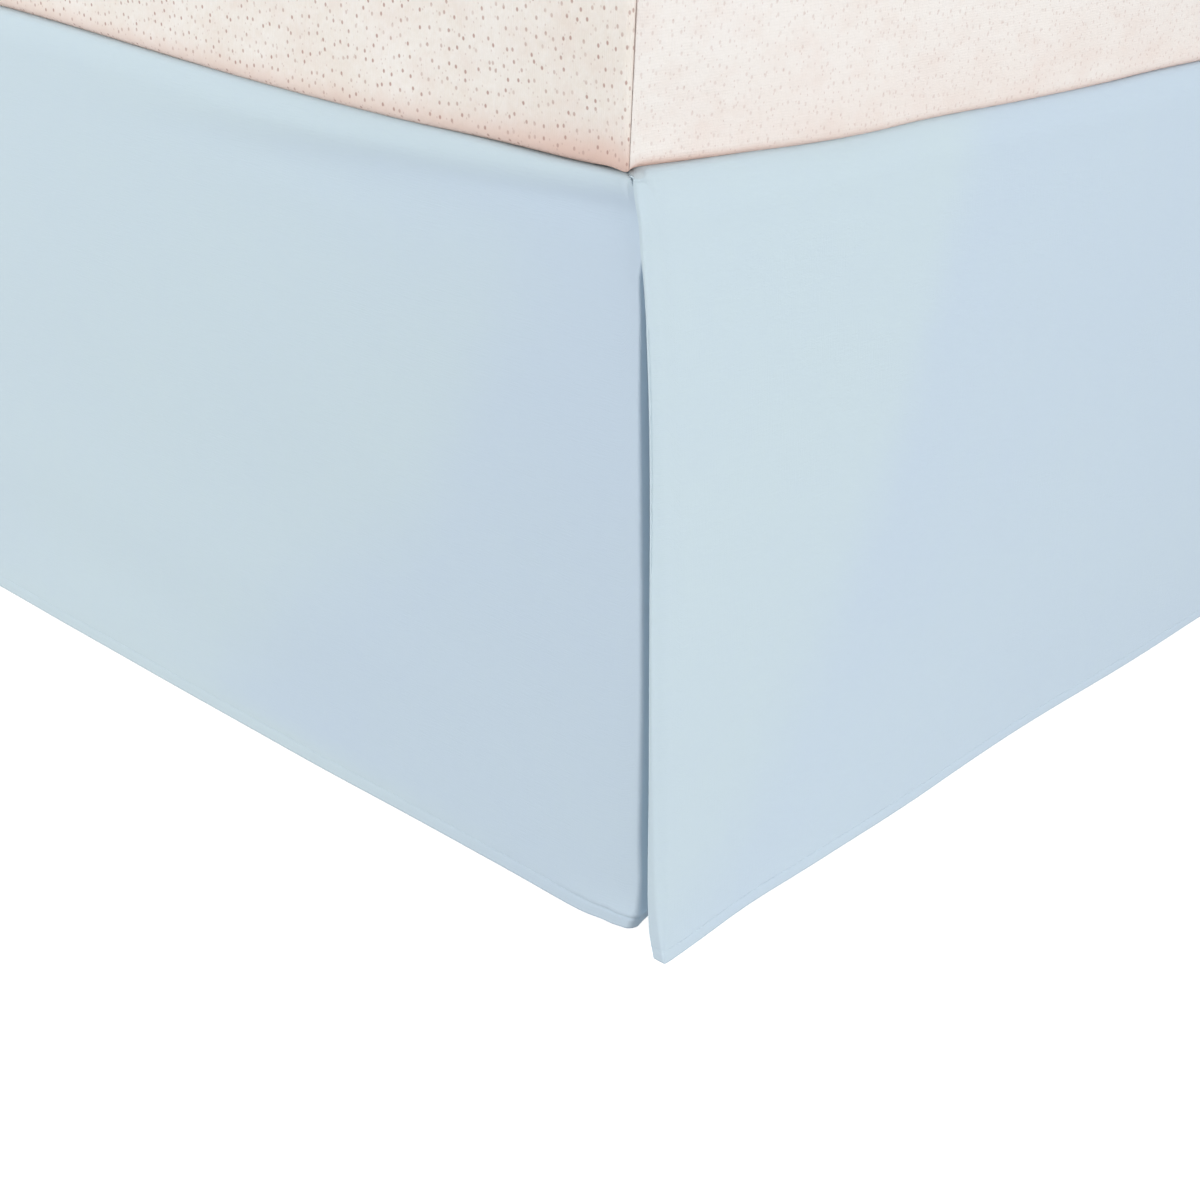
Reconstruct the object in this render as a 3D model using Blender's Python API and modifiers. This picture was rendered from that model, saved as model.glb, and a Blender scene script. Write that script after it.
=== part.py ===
"""A fitted bed skirt on its bed.

The skirt is a flat deck with three drops sewn to its edges: a foot drop whose ends wrap the
bed's corners, and two side drops whose foot ends are rolled back over those corners.
The bed is plain: a base on six legs, and a mattress on the deck.

Bed coordinates, in metres: x from the bed's middle line, y from the skirt's foot face towards
the head, z from the floor. An empty carries every part and centres the bed over the origin.
"""
import math

import bmesh
import bpy

# ---- bed ----
BED_WIDTH = 1.524
BED_LENGTH = 2.032
HALF_WIDTH = BED_WIDTH / 2
SEAT_GAP = 0.0003                 # between pieces that touch

# ---- skirt, as cut and sewn ----
CLOTH = 0.0012                    # thickness of every sheet
DECK_TOP = 0.3860                 # upper face of the deck above the floor
HEM_LEVEL = 0.010                 # hem above the floor
SHOULDER_RADIUS = 0.010           # bend of a drop over the base's edge
SEAM_INSET = 0.012                # from a drop's hanging face in to its seam with the deck
CORNER_SQUEEZE = 0.20             # share of the shoulder that is left at a corner
SQUEEZE_REACH = 0.070             # distance from a corner over which the shoulder tightens
PLEAT_DEPTH = 0.090               # how far the corner pleat runs back behind a side drop
PLEAT_STACK = 0.0039              # foot drop's return behind the side drop's outer face, at the top
RETURN_TOP = 0.005                # top edge of the pleat's hidden layers, below the deck
DECK_CORNER = 0.008               # where the deck's cut corner leaves its side edge

# ---- foot drop's corner fold ----
FOLD_RADIUS_TOP = 0.0040
FOLD_RADIUS_HEM = 0.0050
FOLD_LEAN = 0.0255                # the fold leans out sideways by this much at the hem
FOLD_POWER = 0.8                  # below 1: it leans out sooner near the top
HEM_LIFT = 0.003                  # the leaning fold carries its hem up by this much
LIFT_REACH = 0.035
RETURN_DIP = 0.0040               # the return bows in behind the fold by this much at the hem
RETURN_TURN = 0.025               # distance behind the foot face where it swings out to the seam
RETURN_SETTLE = 1 / 3             # share of the return in which it bows and drops under the deck
FOLD_HIDDEN = 0.45                # share of that drop already made at the end of the fold

# ---- side drop's rolled edge ----
EDGE_FLARE = 0.0490               # the front edge stands out sideways by this much at the hem
EARLY_FLARE = 0.5                 # share of the flare that comes fast, just under the shoulder
FLARE_REACH = 0.600               # distance along the side over which the flare dies out
FLARE_SOFTNESS = 0.01
ROLL_TOP = 0.0022                 # across the roll, mid-sheet to mid-sheet
ROLL_HEM = 0.0076
EDGE_SET_TOP = 0.0040             # front of the roll behind the foot face, at the top
EDGE_SET_HEM = -0.0045            # negative: in front of the foot face, at the hem
PLEAT_SEAM_SHARE = 0.58           # where the hidden seam lies between fold and roll
SEAM_SPREAD = 0.25                # share of the drop over which the seam moves out to there

# ---- base, legs and mattress ----
BASE_INSET = 0.0085               # base behind the skirt's outer faces
BASE_HEIGHT = 0.229
BASE_CORNER = 0.020
BASE_EDGE = 0.012
MATTRESS_HEIGHT = 0.279
MATTRESS_CORNER = 0.014
MATTRESS_EDGE = 0.012
EDGE_STEPS = 4
ROUND_PROFILE = 0.5               # a bevel with a circular section
LEVEL_NORMAL = 0.5                # a face with a normal steeper than this is a top or an underside
LEG_RADIUS_TOP = 0.030
LEG_RADIUS_SOLE = 0.020
LEG_SIDES = 20
LEG_SIDE_INSET = 0.100
LEG_END_INSET = 0.160

# ---- how finely the sheets are divided ----
SHOULDER_STEPS = 4
HANG_STEPS = 10
HANG_SPACING = 1.4                # above 1: rows lie closer together near the top
FOOT_STEPS = 15
SIDE_STEPS = 18
FACE_SPACING = 1.7                # above 1: columns lie closer together near the corner
FOLD_STEPS = 5
ROLL_STEPS = 6
RETURN_STEPS = 6
MIRROR_MERGE = 0.0001
SHARP_ANGLE = math.radians(30)

# Soft swells of the foot drop. along: from the side face towards the middle; down: share of the
# drop; out: outwards. wide and tall are the distances over which a swell dies away.
FOOT_SWELLS = (
    {"along": 0.42, "wide": 0.20, "down": 1.00, "tall": 0.13, "out": 0.0025},
    {"along": 0.45, "wide": 0.22, "down": 0.62, "tall": 0.22, "out": -0.0030},
    {"along": 0.09, "wide": 0.11, "down": 0.10, "tall": 0.07, "out": -0.0012},
    {"along": 0.22, "wide": 0.12, "down": 0.45, "tall": 0.30, "out": 0.0012},
)
# The same for a side drop; along is from the foot face towards the head.
SIDE_SWELLS = (
    {"along": 0.12, "wide": 0.09, "down": 0.55, "tall": 0.40, "out": 0.0015},
    {"along": 0.33, "wide": 0.15, "down": 0.60, "tall": 0.35, "out": -0.0020},
    {"along": 0.95, "wide": 0.30, "down": 0.90, "tall": 0.40, "out": 0.0030},
    {"along": 1.50, "wide": 0.25, "down": 0.80, "tall": 0.40, "out": -0.0020},
)

# ---- colours, linear, and roughness ----
CLOTH_COLOUR = (0.57, 0.68, 0.79, 1.0)
KNIT_COLOUR = (0.86, 0.81, 0.75, 1.0)
BASE_COLOUR = (0.62, 0.60, 0.57, 1.0)
LEG_COLOUR = (0.09, 0.05, 0.03, 1.0)
CLOTH_ROUGHNESS = 0.85
PADDING_ROUGHNESS = 0.9
LEG_ROUGHNESS = 0.5

FACE_TOP = DECK_TOP - CLOTH / 2                   # mid-sheet level of the deck and the seams
DROP = FACE_TOP - HEM_LEVEL                       # mid-sheet level down to the hem
HALF_CLOTH = CLOTH / 2


# ---------------------------------------------------------------- small helpers
def mix(start, end, share):
    return start + (end - start) * share


def ease(share):
    """Smooth step from 0 to 1, held at both ends."""
    share = min(1.0, max(0.0, share))
    return share * share * (3.0 - 2.0 * share)


def swell(swells, along, down):
    """Outward offset of a panel from its table of soft swells."""
    total = 0.0
    for row in swells:
        across = (along - row["along"]) / row["wide"]
        below = (down - row["down"]) / row["tall"]
        total += row["out"] * math.exp(-across * across - below * below)
    return total


# ---------------------------------------------------------------- how a drop hangs
def squeeze(from_corner):
    """Share of the full shoulder at a distance from the corner."""
    return mix(CORNER_SQUEEZE, 1.0, ease(from_corner / SQUEEZE_REACH))


def drop_rows():
    """Rows of a drop from its seam to its hem: turn over the edge in radians, share of the hang."""
    rows = [(None, 0.0)]
    for step in range(SHOULDER_STEPS + 1):
        rows.append((math.pi / 2 * step / SHOULDER_STEPS, 0.0))
    for step in range(1, HANG_STEPS + 1):
        rows.append((math.pi / 2, (step / HANG_STEPS) ** HANG_SPACING))
    return rows


def hang(row, index, count, scale, hidden):
    """How far a row lies outwards of the hanging face and below the seam.

    scale is the share of the shoulder that is left here; hidden goes from 0 on a face to 1 on
    the pleat's inner layers, which hang straight down from just below the deck."""
    turn, share = row
    radius = SHOULDER_RADIUS * scale
    if turn is None:
        out, down = -SEAM_INSET * scale, 0.0
    else:
        out = radius * (math.sin(turn) - 1.0)
        down = radius * (1.0 - math.cos(turn)) + (DROP - radius) * share
    straight_down = mix(RETURN_TOP, DROP, (index / (count - 1)) ** HANG_SPACING)
    return out * (1.0 - hidden), mix(down, straight_down, hidden)


def flare(along, down):
    """How far a side drop's outer face stands out: most at the front edge's hem."""
    left = 1.0 - along / FLARE_REACH
    fade = (left + math.sqrt(left * left + FLARE_SOFTNESS)) / 2
    return EDGE_FLARE * fade * mix(down, math.sqrt(down), EARLY_FLARE)


def roll_width(down):
    return mix(ROLL_TOP, ROLL_HEM, down)


def edge_set(down):
    return mix(EDGE_SET_TOP, EDGE_SET_HEM, down)


def fold_side(down):
    """Sideways place of the foot drop's corner fold, mid-sheet."""
    return HALF_WIDTH - PLEAT_STACK - HALF_CLOTH + FOLD_LEAN * down ** FOLD_POWER


def fold_radius(down):
    return mix(FOLD_RADIUS_TOP, FOLD_RADIUS_HEM, down)


def pleat_seam(down):
    """Sideways place of the hidden seam at the back of the pleat, midway between its halves."""
    inner = fold_side(down)
    outer = HALF_WIDTH - HALF_CLOTH + flare(PLEAT_DEPTH, down) - roll_width(down)
    half_pitch = (CLOTH + SEAT_GAP) / 2
    return mix(inner + half_pitch, outer - half_pitch, PLEAT_SEAM_SHARE * ease(down / SEAM_SPREAD))


# ---------------------------------------------------------------- plans of the drops
def foot_stations():
    """Stations from the bed's middle to the hidden end: part of the drop, share along it."""
    stations = []
    for step in range(FOOT_STEPS + 1):
        stations.append(("face", 1.0 - (1.0 - step / FOOT_STEPS) ** FACE_SPACING))
    for step in range(1, FOLD_STEPS + 1):
        stations.append(("fold", step / FOLD_STEPS))
    for step in range(1, RETURN_STEPS + 1):
        stations.append(("return", step / RETURN_STEPS))
    return stations


def foot_point(station, row, index, count):
    """Mid-sheet point of the foot drop's right half."""
    part, share = station
    fold_start = fold_side(0.0) - FOLD_RADIUS_TOP
    from_corner = (1.0 - share) * fold_start if part == "face" else 0.0
    settled = ease(share / RETURN_SETTLE)
    hidden = {"face": 0.0, "fold": FOLD_HIDDEN * share, "return": mix(FOLD_HIDDEN, 1.0, settled)}[part]
    out, below = hang(row, index, count, squeeze(from_corner), hidden)
    down = below / DROP
    radius, side = fold_radius(down), fold_side(down)
    lift = HEM_LIFT * down * down * math.exp(-(from_corner / LIFT_REACH) ** 2) * (1.0 - hidden)
    if part == "face":
        x = (side - radius) * share
        y = HALF_CLOTH - out - swell(FOOT_SWELLS, HALF_WIDTH - x, down) * ease(below / SHOULDER_RADIUS)
    elif part == "fold":
        angle = math.pi / 2 * share
        x = side - radius + (radius + out) * math.sin(angle)
        y = HALF_CLOTH + radius - (radius + out) * math.cos(angle)
        y -= swell(FOOT_SWELLS, 0.0, down) * ease(below / SHOULDER_RADIUS) * (1.0 - share)
    else:
        y = mix(HALF_CLOTH + radius, PLEAT_DEPTH, share)
        swing = ease((y - RETURN_TURN) / (PLEAT_DEPTH - RETURN_TURN))
        bow = RETURN_DIP * down * settled * (1.0 - swing)
        seam_side = pleat_seam(down) - (CLOTH + SEAT_GAP) / 2
        x = mix(side - bow, seam_side, swing) + out
    return x, y, FACE_TOP - below + lift


def side_stations():
    """Stations from the hidden end round the roll to the head end."""
    stations = []
    for step in range(RETURN_STEPS):
        stations.append(("return", 1.0 - step / RETURN_STEPS))
    for step in range(ROLL_STEPS + 1):
        stations.append(("roll", step / ROLL_STEPS))
    for step in range(1, SIDE_STEPS + 1):
        stations.append(("face", (step / SIDE_STEPS) ** FACE_SPACING))
    return stations


def side_face(along, down, below):
    """Sideways place of a side drop's hanging face, mid-sheet."""
    waves = swell(SIDE_SWELLS, along, down) * ease(below / SHOULDER_RADIUS)
    return HALF_WIDTH - HALF_CLOTH + flare(max(along, 0.0), down) + waves


def side_point(station, row, index, count):
    """Mid-sheet point of the right side drop."""
    part, share = station
    run = BED_LENGTH - BASE_INSET
    from_corner = share * run if part == "face" else 0.0
    turned = 1.0 - (1.0 + math.cos(math.pi * (1.0 - share))) / 2
    hidden = {"face": 0.0, "roll": turned, "return": 1.0}[part]
    out, below = hang(row, index, count, squeeze(from_corner), hidden)
    down = below / DROP
    width = roll_width(down)
    roll_y = edge_set(down) + HALF_CLOTH + width / 2
    if part == "face":
        y = mix(roll_y, run, share)
        x = side_face(y, down, below) + out
    elif part == "roll":
        angle = math.pi * (1.0 - share)
        x = side_face(roll_y, down, below) - width / 2 + (width / 2) * math.cos(angle) + out
        y = roll_y - (width / 2) * math.sin(angle)
    else:
        y = mix(roll_y, PLEAT_DEPTH, share)
        beside_face = side_face(y, down, below) - width
        seam_side = pleat_seam(down) + (CLOTH + SEAT_GAP) / 2
        x = mix(beside_face, seam_side, ease(share)) + out
    return x, y, FACE_TOP - below


# ---------------------------------------------------------------- objects
def clear_scene():
    for obj in list(bpy.data.objects):
        bpy.data.objects.remove(obj, do_unlink=True)


def material(name, colour, roughness):
    finish = bpy.data.materials.new(name)
    finish.use_nodes = True
    shader = finish.node_tree.nodes["Principled BSDF"]
    shader.inputs["Base Color"].default_value = colour
    shader.inputs["Roughness"].default_value = roughness
    shader.inputs["Metallic"].default_value = 0.0
    return finish


def add_part(name, mesh, finish, collection, root):
    """An object for a finished mesh, in the bed's collection and carried by its empty."""
    mesh.materials.append(finish)
    part = bpy.data.objects.new(name, mesh)
    collection.objects.link(part)
    part.parent = root
    return part


def bent_grid(name, stations, rows, place):
    """A flat grid with a column for each station and a row for each row, bent by place()."""
    grid = bmesh.new()
    bmesh.ops.create_grid(grid, x_segments=len(stations) - 1, y_segments=len(rows) - 1, size=1.0)
    for vert in grid.verts:
        column = round((vert.co.x + 1.0) / 2.0 * (len(stations) - 1))
        line = round((1.0 - vert.co.y) / 2.0 * (len(rows) - 1))
        vert.co = place(stations[column], rows[line], line, len(rows))
    mesh = bpy.data.meshes.new(name)
    grid.to_mesh(mesh)
    grid.free()
    mesh.shade_smooth()
    return mesh


def thicken(part):
    """Give a sheet its thickness, half to each side."""
    solid = part.modifiers.new("thickness", "SOLIDIFY")
    solid.thickness = CLOTH
    solid.offset = 0.0


def foot_drop(collection, root):
    mesh = bent_grid("foot_drop", foot_stations(), drop_rows(), foot_point)
    finish = material("foot_cloth", CLOTH_COLOUR, CLOTH_ROUGHNESS)
    part = add_part("foot_drop", mesh, finish, collection, root)
    mirror = part.modifiers.new("other half", "MIRROR")
    mirror.merge_threshold = MIRROR_MERGE
    thicken(part)
    return part


def side_drop(name, side, collection, root):
    """A side drop; side is 1 for the right and -1 for the left."""
    def place(*where):
        x, y, z = side_point(*where)
        return side * x, y, z
    mesh = bent_grid(name, side_stations(), drop_rows(), place)
    if side < 0:
        mesh.flip_normals()
    finish = material(name + "_cloth", CLOTH_COLOUR, CLOTH_ROUGHNESS)
    part = add_part(name, mesh, finish, collection, root)
    thicken(part)
    return part


def deck_outline():
    """Outline of the deck, a hair inside the seams of the drops, from the right head corner."""
    rows = drop_rows()
    right = []
    for station in reversed(side_stations()):
        if station[0] == "face":
            x, y, _ = side_point(station, rows[0], 0, len(rows))
            right.append((x - SEAT_GAP, y))
    right.append((right[-1][0], DECK_CORNER))
    for station in reversed(foot_stations()):
        if station[0] == "face":
            x, y, _ = foot_point(station, rows[0], 0, len(rows))
            right.append((x, y + SEAT_GAP))
    left = [(-x, y) for x, y in reversed(right[:-1])]
    return right + left


def deck(collection, root):
    """The deck's outline as a filled flat curve, made a mesh."""
    curve = bpy.data.curves.new("deck_outline", "CURVE")
    curve.dimensions = "2D"
    curve.fill_mode = "BOTH"
    curve.extrude = HALF_CLOTH
    outline = deck_outline()
    line = curve.splines.new("POLY")
    line.points.add(len(outline) - 1)
    for point, (x, y) in zip(line.points, outline):
        point.co = (x, y, 0.0, 1.0)
    line.use_cyclic_u = True
    part = bpy.data.objects.new("deck", curve)
    part.data.materials.append(material("deck_cloth", CLOTH_COLOUR, CLOTH_ROUGHNESS))
    collection.objects.link(part)
    part.parent = root
    part.location.z = FACE_TOP
    return part


def rounded_block(name, size, corner, edge):
    """A box centred on its own origin with round upright corners and round rims."""
    block = bmesh.new()
    bmesh.ops.create_cube(block, size=1.0)
    bmesh.ops.scale(block, vec=size, verts=block.verts)
    upright = [e for e in block.edges if abs(e.verts[0].co.z - e.verts[1].co.z) > edge]
    bmesh.ops.bevel(block, geom=upright, offset=corner, segments=EDGE_STEPS,
                    profile=ROUND_PROFILE, affect="EDGES")
    rims = [e for e in block.edges
            if abs(e.verts[0].co.z - e.verts[1].co.z) < edge and len(e.link_faces) == 2
            and any(abs(f.normal.z) > LEVEL_NORMAL for f in e.link_faces)]
    bmesh.ops.bevel(block, geom=rims, offset=edge, segments=EDGE_STEPS,
                    profile=ROUND_PROFILE, affect="EDGES", clamp_overlap=True)
    mesh = bpy.data.meshes.new(name)
    block.to_mesh(mesh)
    block.free()
    mesh.shade_smooth()
    mesh.set_sharp_from_angle(angle=SHARP_ANGLE)
    return mesh


def bed_base(collection, root):
    size = (BED_WIDTH - 2 * BASE_INSET, BED_LENGTH - 2 * BASE_INSET, BASE_HEIGHT)
    mesh = rounded_block("bed_base", size, BASE_CORNER, BASE_EDGE)
    finish = material("base_fabric", BASE_COLOUR, PADDING_ROUGHNESS)
    part = add_part("bed_base", mesh, finish, collection, root)
    part.location = (0.0, BED_LENGTH / 2, base_top() - BASE_HEIGHT / 2)
    return part


def base_top():
    return DECK_TOP - CLOTH - SEAT_GAP


def mattress(collection, root):
    size = (BED_WIDTH, BED_LENGTH, MATTRESS_HEIGHT)
    mesh = rounded_block("mattress", size, MATTRESS_CORNER, MATTRESS_EDGE)
    finish = material("mattress_knit", KNIT_COLOUR, PADDING_ROUGHNESS)
    part = add_part("mattress", mesh, finish, collection, root)
    part.location = (0.0, BED_LENGTH / 2, DECK_TOP + SEAT_GAP + MATTRESS_HEIGHT / 2)
    return part


def legs(collection, root):
    """Six tapered legs, three to a side."""
    height = base_top() - BASE_HEIGHT - SEAT_GAP
    finish = material("leg_wood", LEG_COLOUR, LEG_ROUGHNESS)
    rows = {"foot": LEG_END_INSET, "middle": BED_LENGTH / 2, "head": BED_LENGTH - LEG_END_INSET}
    made = []
    for row, y in rows.items():
        for side, sign in (("left", -1), ("right", 1)):
            cone = bmesh.new()
            bmesh.ops.create_cone(cone, cap_ends=True, segments=LEG_SIDES, depth=height,
                                  radius1=LEG_RADIUS_SOLE, radius2=LEG_RADIUS_TOP)
            name = "leg_" + row + "_" + side
            mesh = bpy.data.meshes.new(name)
            cone.to_mesh(mesh)
            cone.free()
            mesh.shade_smooth()
            mesh.set_sharp_from_angle(angle=SHARP_ANGLE)
            leg = add_part(name, mesh, finish, collection, root)
            leg.location = (sign * (HALF_WIDTH - LEG_SIDE_INSET), y, height / 2)
            made.append(leg)
    return made


def centre_over_origin(root, parts):
    """Move the empty so that the middle of the bed's box stands over the origin."""
    bpy.context.view_layer.update()
    depsgraph = bpy.context.evaluated_depsgraph_get()
    ends = []
    for part in parts:
        solid = part.evaluated_get(depsgraph)
        ends += [(solid.matrix_world @ point.co).y for point in solid.to_mesh().vertices]
        solid.to_mesh_clear()
    root.location.y = -(min(ends) + max(ends)) / 2
    bpy.context.view_layer.update()


def main():
    clear_scene()
    collection = bpy.data.collections.new("bed_skirt")
    bpy.context.scene.collection.children.link(collection)
    root = bpy.data.objects.new("bed_place", None)
    collection.objects.link(root)
    parts = [
        bed_base(collection, root),
        deck(collection, root),
        foot_drop(collection, root),
        side_drop("side_drop_right", 1, collection, root),
        side_drop("side_drop_left", -1, collection, root),
        mattress(collection, root),
    ]
    parts += legs(collection, root)
    centre_over_origin(root, parts)


main()
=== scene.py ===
"""The looks of a bed skirt on its bed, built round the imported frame.

The deck, the three drops, the mattress and the bed base stand for their plain solids as finer
pieces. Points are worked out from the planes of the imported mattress: x from the bed's middle,
y from the foot plane towards the head, z from the floor, all in metres. On a drop, along is the
distance from its foot corner and below the depth under the deck.
"""

import math

import bpy
import numpy as np
from mathutils import Matrix, Vector


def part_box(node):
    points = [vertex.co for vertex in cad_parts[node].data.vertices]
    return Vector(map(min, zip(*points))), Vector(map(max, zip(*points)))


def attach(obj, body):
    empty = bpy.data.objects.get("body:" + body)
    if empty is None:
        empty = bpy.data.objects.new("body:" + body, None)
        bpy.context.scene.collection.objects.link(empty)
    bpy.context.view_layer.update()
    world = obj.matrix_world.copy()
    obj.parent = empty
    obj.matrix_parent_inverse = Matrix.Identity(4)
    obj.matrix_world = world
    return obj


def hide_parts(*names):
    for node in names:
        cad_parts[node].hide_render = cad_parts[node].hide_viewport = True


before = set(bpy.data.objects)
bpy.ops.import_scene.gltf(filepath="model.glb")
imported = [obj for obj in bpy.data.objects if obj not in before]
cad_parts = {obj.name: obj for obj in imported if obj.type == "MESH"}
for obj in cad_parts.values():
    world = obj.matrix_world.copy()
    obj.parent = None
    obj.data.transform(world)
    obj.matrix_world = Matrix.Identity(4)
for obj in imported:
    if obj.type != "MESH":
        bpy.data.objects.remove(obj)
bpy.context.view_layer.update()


def table(keys, *rows):
    """Rows of values as named columns."""
    return dict(zip(keys.split(), np.array(rows).T))


# ---- planes and levels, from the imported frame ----
MATTRESS_LOW, MATTRESS_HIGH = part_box("mattress")
BASE_LOW, BASE_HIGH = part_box("bed_base")
HALF_WIDTH = MATTRESS_HIGH.x
FOOT_PLANE = MATTRESS_LOW.y
DECK_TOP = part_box("deck")[1].z
HEM_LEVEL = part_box("side_drop_right")[0].z
DROP = DECK_TOP - HEM_LEVEL
SIDE_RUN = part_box("side_drop_right")[1].y - FOOT_PLANE
PIECE_GAP = 0.0004  # between cloths that lie on each other

# ---- cloth ----
CLOTH = 0.0005  # one layer
HEM_CLOTH = 0.0011  # a hem's layers
FOOT_HEM = 0.0074  # stitch line above the hem's edge
SIDE_HEM = 0.0058
HEM_STEP = 0.00012  # how far the hem's layers stand out
HEM_PUFF = 0.0015  # ridge above the foot drop's hem, near its corner
PUFF_ABOVE = 0.0028  # above the stitch line
PUFF_TALL = 0.0026
PUFF_REACH = 0.034
PUFF_GROOVE = 0.0008  # deeper stitching under the ridge
PUFF_UNEVEN = 0.5  # share by which both come and go
STITCH_GROOVE = 0.00022
STITCH_PULL = 0.0008  # half the width of the groove
PUCKER = 0.00022  # uneven pull of the stitches
PUCKER_PITCH = 0.0085
PUCKER_TALL = 4 * STITCH_PULL
BEND_RADIUS = 0.005  # bend of a drop over the bed's edge
BEND_TURN = math.radians(62.0)  # this far round; the rest turns gently
BEND_GENTLE = 0.03
BEND_OUT = BEND_RADIUS * math.sin(BEND_TURN) + BEND_GENTLE * (1.0 - math.sin(BEND_TURN))
BEND_DOWN = BEND_RADIUS * (1.0 - math.cos(BEND_TURN)) + BEND_GENTLE * math.cos(BEND_TURN)
SEAM_INSET = 0.014  # from the hanging face in to the seam with the deck
CORNER_SQUEEZE = 0.1  # share of the bend that is left at a corner
CORNER_INSET = 0.003  # of the seam, right at a corner
SQUEEZE_REACH = 0.01  # from the corner; the bend is whole beyond it
RISE_FADE = 0.045  # the rise of a drop's top is gone this far down
LIFT_POWER = 2  # lifts, sags and pulls grow with these powers of the share of the drop
SAG_POWER = 3
PULL_POWER = 6
PLEAT_DEPTH = 0.088  # how far the corner pleat runs back
PLEAT_SETTLES = 3  # its layers come down to their hidden top in 1 / this of their run
RETURN_TOP = 0.014  # the pleat's hidden layers start this far under the deck

# ---- foot drop's corner fold, lines in plan from the foot and side planes ----
# down: share of the drop; out: sideways place of the fold from the side plane; round: its radius
FOLD_LINES = table(
    "down out round",
    (0.0, 0.0011, 0.0006),
    (0.026, 0.0032, 0.0006),
    (0.05, 0.006, 0.0007),
    (0.072, 0.0072, 0.0009),
    (0.107, 0.0063, 0.0011),
    (0.154, 0.0084, 0.0012),
    (0.25, 0.0112, 0.0016),
    (0.375, 0.0152, 0.0022),
    (0.51, 0.0192, 0.0022),
    (0.647, 0.0225, 0.0022),
    (0.785, 0.0247, 0.0023),
    (0.871, 0.0263, 0.0023),
    (0.929, 0.0281, 0.0023),
    (0.965, 0.0274, 0.0028),
    (1.0, 0.0238, 0.005),
)
HEM_LIFT = 0.0046  # the foot drop's hem rises this much at its corner
LIFT_REACH = 0.02
FOLD_LIFT = 0.0048  # and this much more round the fold and on to CLIMB_BACK
CLIMB_ROUND = 0.27  # share of that climb made on the fold itself
CLIMB_BACK = 0.1  # share of the return where the climb ends
LIFT_SETTLES = 1.5  # the lift is gone in 1 / this of the return
PUFF_BACK = 0.25  # the ridge above the hem is gone in this share of it
RETURN_DIP = 0.0012  # how far the return turns in behind the fold, from none at the top
RETURN_DIP_HEM = -0.0009  # added to that right at the hem
RETURN_TURN = 0.012  # it turns in over this distance

# ---- side drop's rolled front edge ----
# down: share of the drop; inner: sideways place of the edge's inner side from the side plane;
# front: behind the foot plane; across: outer side less inner side; round: how far back the outer
# corner's rounding runs; sharp: its share across
EDGE_LINES = table(
    "down inner front across round sharp",
    (0.0, 0.0015, 0.0003, 0.0036, 0.003, 0.6),
    (0.026, 0.0036, 0.0003, 0.0044, 0.0036, 0.6),
    (0.05, 0.0065, 0.0003, 0.0044, 0.0044, 0.6),
    (0.072, 0.0076, 0.0004, 0.0043, 0.005, 0.6),
    (0.107, 0.0102, 0.0006, 0.004, 0.0056, 0.6),
    (0.154, 0.0125, 0.0008, 0.004, 0.0064, 0.6),
    (0.25, 0.0165, 0.0008, 0.0045, 0.0074, 0.6),
    (0.375, 0.0204, 0.0004, 0.0052, 0.0082, 0.6),
    (0.51, 0.0244, -0.0006, 0.0061, 0.0085, 0.6),
    (0.65, 0.0286, -0.0017, 0.007, 0.0085, 0.6),
    (0.785, 0.0326, -0.0028, 0.0076, 0.008, 0.55),
    (0.87, 0.0347, -0.0034, 0.009, 0.007, 0.5),
    (0.93, 0.0367, -0.0039, 0.0098, 0.0055, 0.42),
    (0.97, 0.039, -0.0042, 0.0096, 0.003, 0.25),
    (1.0, 0.0424, -0.0042, 0.0086, 0.001, 0.12),
)
FLARE_REACH = 0.6  # the lean of a side drop dies out over this distance
FLARE_SOFTNESS = 0.008
ROLL_PAD_REACH = 0.055  # the roll's own thickness dies out over this distance
PLEAT_SEAM_SHARE = 0.3
RETURN_CLOSE = 0.03  # the side drop's inner layer meets the foot drop's in this share
RETURN_CLOSE_HEM = 0.28
RETURN_OPENS = 0.7  # power of the change between the two
RETURN_LIFT = 0.008  # its hem is pulled up by this much
EDGE_CRISP = 0.0004  # radius of the front edge's inner side at the top
EDGE_SOFT = 0.002  # and below SEAM_SPREAD
SEAM_SPREAD = 0.25
INNER_BEND = 0.5  # share of the bend that the edge's inner side follows
SEAM_UNDER = 0.0022  # the pleat's seam stays this far inside the side drop

# ---- where the mattress lies on the skirt ----
# along: from the corner; radius: of the mattress's lower edge; bulge: of its wall, low down;
# rise: of the lower edge over the deck, and of the cloth's top under it
FOOT_EDGE = table(
    "along radius bulge rise",
    (0.0, 0.006, 0.0004, 0.0028),
    (0.006, 0.006, -0.0004, 0.0029),
    (0.013, 0.0055, -0.0024, 0.003),
    (0.02, 0.005, -0.004, 0.0029),
    (0.043, 0.005, -0.0045, 0.0024),
    (0.097, 0.005, -0.005, 0.0018),
    (0.153, 0.005, -0.0016, 0.0013),
    (0.214, 0.005, -0.0014, 0.001),
    (0.28, 0.005, -0.0032, 0.001),
    (0.35, 0.0055, -0.005, 0.0018),
    (0.426, 0.006, -0.006, 0.0035),
    (0.508, 0.006, -0.0068, 0.005),
    (0.762, 0.006, -0.0048, 0.0018),
)
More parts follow.
